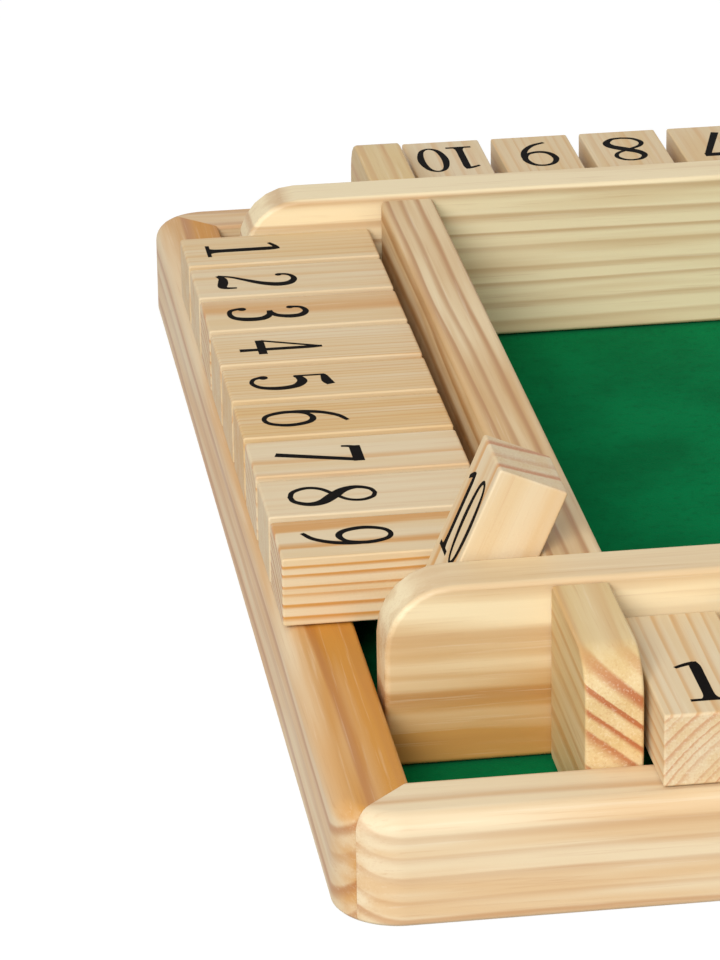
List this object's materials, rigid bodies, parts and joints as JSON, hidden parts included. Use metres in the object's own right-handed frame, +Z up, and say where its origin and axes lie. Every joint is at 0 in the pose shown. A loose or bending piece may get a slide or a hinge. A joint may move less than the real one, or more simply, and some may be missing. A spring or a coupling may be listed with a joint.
{
  "type": "shut the box game board",
  "caption": "Square wooden dice board with a felt tray and a row of hinged number tiles on each side.",
  "frame": {"origin": "centre of the board, on the plane that the rails stand on", "axes": "+Z up, X along the front and back rows, Y along the left and right rows, the front row at -Y"},
  "size_m": [0.3, 0.3, 0.0534],
  "materials": {
    "rail_pine": "satin clear lacquer",
    "fence_pine": "satin clear lacquer",
    "block_pine": "satin clear lacquer",
    "tile_pine": "satin clear lacquer",
    "base_board": "raw board",
    "green_felt": "short felt nap",
    "rod_steel": "drawn bar",
    "number_print": "matte printing ink"
  },
  "bodies": {
    "board": {"base_panel": "base_board", "felt_lining": "green_felt", "frame_rail_front": "rail_pine", "frame_rail_back": "rail_pine", "frame_rail_left": "rail_pine", "frame_rail_right": "rail_pine", "fence_front": "fence_pine", "fence_back": "fence_pine", "fence_left": "fence_pine", "fence_right": "fence_pine", "end_block_front_left": "block_pine", "end_block_front_right": "block_pine", "end_block_back_left": "block_pine", "end_block_back_right": "block_pine", "rod_front": "rod_steel", "rod_back": "rod_steel", "rod_left": "rod_steel", "rod_right": "rod_steel"},
    "tile_front_01": {"tile_front_01": "tile_pine"},
    "tile_front_02": {"tile_front_02": "tile_pine"},
    "tile_front_03": {"tile_front_03": "tile_pine"},
    "tile_front_04": {"tile_front_04": "tile_pine"},
    "tile_front_05": {"tile_front_05": "tile_pine"},
    "tile_front_06": {"tile_front_06": "tile_pine"},
    "tile_front_07": {"tile_front_07": "tile_pine"},
    "tile_front_08": {"tile_front_08": "tile_pine"},
    "tile_front_09": {"tile_front_09": "tile_pine"},
    "tile_front_10": {"tile_front_10": "tile_pine"},
    "tile_back_01": {"tile_back_01": "tile_pine"},
    "tile_back_02": {"tile_back_02": "tile_pine"},
    "tile_back_03": {"tile_back_03": "tile_pine"},
    "tile_back_04": {"tile_back_04": "tile_pine"},
    "tile_back_05": {"tile_back_05": "tile_pine"},
    "tile_back_06": {"tile_back_06": "tile_pine"},
    "tile_back_07": {"tile_back_07": "tile_pine"},
    "tile_back_08": {"tile_back_08": "tile_pine"},
    "tile_back_09": {"tile_back_09": "tile_pine"},
    "tile_back_10": {"tile_back_10": "tile_pine"},
    "tile_left_01": {"tile_left_01": "tile_pine"},
    "tile_left_02": {"tile_left_02": "tile_pine"},
    "tile_left_03": {"tile_left_03": "tile_pine"},
    "tile_left_04": {"tile_left_04": "tile_pine"},
    "tile_left_05": {"tile_left_05": "tile_pine"},
    "tile_left_06": {"tile_left_06": "tile_pine"},
    "tile_left_07": {"tile_left_07": "tile_pine"},
    "tile_left_08": {"tile_left_08": "tile_pine"},
    "tile_left_09": {"tile_left_09": "tile_pine"},
    "tile_left_10": {"tile_left_10": "tile_pine"},
    "tile_right_01": {"tile_right_01": "tile_pine"},
    "tile_right_02": {"tile_right_02": "tile_pine"},
    "tile_right_03": {"tile_right_03": "tile_pine"},
    "tile_right_04": {"tile_right_04": "tile_pine"},
    "tile_right_05": {"tile_right_05": "tile_pine"},
    "tile_right_06": {"tile_right_06": "tile_pine"},
    "tile_right_07": {"tile_right_07": "tile_pine"},
    "tile_right_08": {"tile_right_08": "tile_pine"},
    "tile_right_09": {"tile_right_09": "tile_pine"},
    "tile_right_10": {"tile_right_10": "tile_pine"}
  },
  "joints": [
    {"name": "tile_front_01_flip", "type": "hinge", "parent": "board", "child": "tile_front_01", "pos_m": [-0.08901, -0.118, 0.02523], "axis": [-1, 0, 0], "range_deg": [0, 112.4]},
    {"name": "tile_front_02_flip", "type": "hinge", "parent": "board", "child": "tile_front_02", "pos_m": [-0.06963, -0.118, 0.02523], "axis": [-1, 0, 0], "range_deg": [0, 112.4]},
    {"name": "tile_front_03_flip", "type": "hinge", "parent": "board", "child": "tile_front_03", "pos_m": [-0.05025, -0.118, 0.02523], "axis": [-1, 0, 0], "range_deg": [0, 112.4]},
    {"name": "tile_front_04_flip", "type": "hinge", "parent": "board", "child": "tile_front_04", "pos_m": [-0.03087, -0.118, 0.02523], "axis": [-1, 0, 0], "range_deg": [0, 112.4]},
    {"name": "tile_front_05_flip", "type": "hinge", "parent": "board", "child": "tile_front_05", "pos_m": [-0.01149, -0.118, 0.02523], "axis": [-1, 0, 0], "range_deg": [0, 112.4]},
    {"name": "tile_front_06_flip", "type": "hinge", "parent": "board", "child": "tile_front_06", "pos_m": [0.00789, -0.118, 0.02523], "axis": [-1, 0, 0], "range_deg": [0, 112.4]},
    {"name": "tile_front_07_flip", "type": "hinge", "parent": "board", "child": "tile_front_07", "pos_m": [0.02727, -0.118, 0.02523], "axis": [-1, 0, 0], "range_deg": [0, 112.4]},
    {"name": "tile_front_08_flip", "type": "hinge", "parent": "board", "child": "tile_front_08", "pos_m": [0.04665, -0.118, 0.02523], "axis": [-1, 0, 0], "range_deg": [0, 112.4]},
    {"name": "tile_front_09_flip", "type": "hinge", "parent": "board", "child": "tile_front_09", "pos_m": [0.06603, -0.118, 0.02523], "axis": [-1, 0, 0], "range_deg": [0, 112.4]},
    {"name": "tile_front_10_flip", "type": "hinge", "parent": "board", "child": "tile_front_10", "pos_m": [0.08541, -0.118, 0.02523], "axis": [-1, 0, 0], "range_deg": [0, 112.4]},
    {"name": "tile_back_01_flip", "type": "hinge", "parent": "board", "child": "tile_back_01", "pos_m": [0.08721, 0.118, 0.02523], "axis": [1, 0, 0], "range_deg": [0, 112.4]},
    {"name": "tile_back_02_flip", "type": "hinge", "parent": "board", "child": "tile_back_02", "pos_m": [0.06783, 0.118, 0.02523], "axis": [1, 0, 0], "range_deg": [0, 112.4]},
    {"name": "tile_back_03_flip", "type": "hinge", "parent": "board", "child": "tile_back_03", "pos_m": [0.04845, 0.118, 0.02523], "axis": [1, 0, 0], "range_deg": [0, 112.4]},
    {"name": "tile_back_04_flip", "type": "hinge", "parent": "board", "child": "tile_back_04", "pos_m": [0.02907, 0.118, 0.02523], "axis": [1, 0, 0], "range_deg": [0, 112.4]},
    {"name": "tile_back_05_flip", "type": "hinge", "parent": "board", "child": "tile_back_05", "pos_m": [0.00969, 0.118, 0.02523], "axis": [1, 0, 0], "range_deg": [0, 112.4]},
    {"name": "tile_back_06_flip", "type": "hinge", "parent": "board", "child": "tile_back_06", "pos_m": [-0.00969, 0.118, 0.02523], "axis": [1, 0, 0], "range_deg": [0, 112.4]},
    {"name": "tile_back_07_flip", "type": "hinge", "parent": "board", "child": "tile_back_07", "pos_m": [-0.02907, 0.118, 0.02523], "axis": [1, 0, 0], "range_deg": [0, 112.4]},
    {"name": "tile_back_08_flip", "type": "hinge", "parent": "board", "child": "tile_back_08", "pos_m": [-0.04845, 0.118, 0.02523], "axis": [1, 0, 0], "range_deg": [0, 112.4]},
    {"name": "tile_back_09_flip", "type": "hinge", "parent": "board", "child": "tile_back_09", "pos_m": [-0.06783, 0.118, 0.02523], "axis": [1, 0, 0], "range_deg": [0, 112.4]},
    {"name": "tile_back_10_flip", "type": "hinge", "parent": "board", "child": "tile_back_10", "pos_m": [-0.08721, 0.118, 0.02523], "axis": [1, 0, 0], "range_deg": [0, 112.4]},
    {"name": "tile_left_01_flip", "type": "hinge", "parent": "board", "child": "tile_left_01", "pos_m": [-0.1206, 0.08487, 0.02523], "axis": [0, 1, 0], "range_deg": [0, 113.5]},
    {"name": "tile_left_02_flip", "type": "hinge", "parent": "board", "child": "tile_left_02", "pos_m": [-0.1206, 0.06601, 0.02523], "axis": [0, 1, 0], "range_deg": [0, 113.5]},
    {"name": "tile_left_03_flip", "type": "hinge", "parent": "board", "child": "tile_left_03", "pos_m": [-0.1206, 0.04715, 0.02523], "axis": [0, 1, 0], "range_deg": [0, 113.5]},
    {"name": "tile_left_04_flip", "type": "hinge", "parent": "board", "child": "tile_left_04", "pos_m": [-0.1206, 0.02829, 0.02523], "axis": [0, 1, 0], "range_deg": [0, 113.5]},
    {"name": "tile_left_05_flip", "type": "hinge", "parent": "board", "child": "tile_left_05", "pos_m": [-0.1206, 0.00943, 0.02523], "axis": [0, 1, 0], "range_deg": [0, 113.5]},
    {"name": "tile_left_06_flip", "type": "hinge", "parent": "board", "child": "tile_left_06", "pos_m": [-0.1206, -0.00943, 0.02523], "axis": [0, 1, 0], "range_deg": [0, 113.5]},
    {"name": "tile_left_07_flip", "type": "hinge", "parent": "board", "child": "tile_left_07", "pos_m": [-0.1206, -0.02829, 0.02523], "axis": [0, 1, 0], "range_deg": [0, 113.5]},
    {"name": "tile_left_08_flip", "type": "hinge", "parent": "board", "child": "tile_left_08", "pos_m": [-0.1206, -0.04715, 0.02523], "axis": [0, 1, 0], "range_deg": [0, 113.5]},
    {"name": "tile_left_09_flip", "type": "hinge", "parent": "board", "child": "tile_left_09", "pos_m": [-0.1206, -0.06601, 0.02523], "axis": [0, 1, 0], "range_deg": [0, 113.5]},
    {"name": "tile_left_10_flip", "type": "hinge", "parent": "board", "child": "tile_left_10", "pos_m": [-0.1206, -0.08487, 0.02523], "axis": [0, 1, 0], "range_deg": [-113.5, 0]},
    {"name": "tile_right_01_flip", "type": "hinge", "parent": "board", "child": "tile_right_01", "pos_m": [0.1206, -0.08487, 0.02523], "axis": [0, -1, 0], "range_deg": [0, 113.5]},
    {"name": "tile_right_02_flip", "type": "hinge", "parent": "board", "child": "tile_right_02", "pos_m": [0.1206, -0.06601, 0.02523], "axis": [0, -1, 0], "range_deg": [0, 113.5]},
    {"name": "tile_right_03_flip", "type": "hinge", "parent": "board", "child": "tile_right_03", "pos_m": [0.1206, -0.04715, 0.02523], "axis": [0, -1, 0], "range_deg": [0, 113.5]},
    {"name": "tile_right_04_flip", "type": "hinge", "parent": "board", "child": "tile_right_04", "pos_m": [0.1206, -0.02829, 0.02523], "axis": [0, -1, 0], "range_deg": [0, 113.5]},
    {"name": "tile_right_05_flip", "type": "hinge", "parent": "board", "child": "tile_right_05", "pos_m": [0.1206, -0.00943, 0.02523], "axis": [0, -1, 0], "range_deg": [0, 113.5]},
    {"name": "tile_right_06_flip", "type": "hinge", "parent": "board", "child": "tile_right_06", "pos_m": [0.1206, 0.00943, 0.02523], "axis": [0, -1, 0], "range_deg": [0, 113.5]},
    {"name": "tile_right_07_flip", "type": "hinge", "parent": "board", "child": "tile_right_07", "pos_m": [0.1206, 0.02829, 0.02523], "axis": [0, -1, 0], "range_deg": [0, 113.5]},
    {"name": "tile_right_08_flip", "type": "hinge", "parent": "board", "child": "tile_right_08", "pos_m": [0.1206, 0.04715, 0.02523], "axis": [0, -1, 0], "range_deg": [0, 113.5]},
    {"name": "tile_right_09_flip", "type": "hinge", "parent": "board", "child": "tile_right_09", "pos_m": [0.1206, 0.06601, 0.02523], "axis": [0, -1, 0], "range_deg": [0, 113.5]},
    {"name": "tile_right_10_flip", "type": "hinge", "parent": "board", "child": "tile_right_10", "pos_m": [0.1206, 0.08487, 0.02523], "axis": [0, -1, 0], "range_deg": [0, 113.5]}
  ]
}
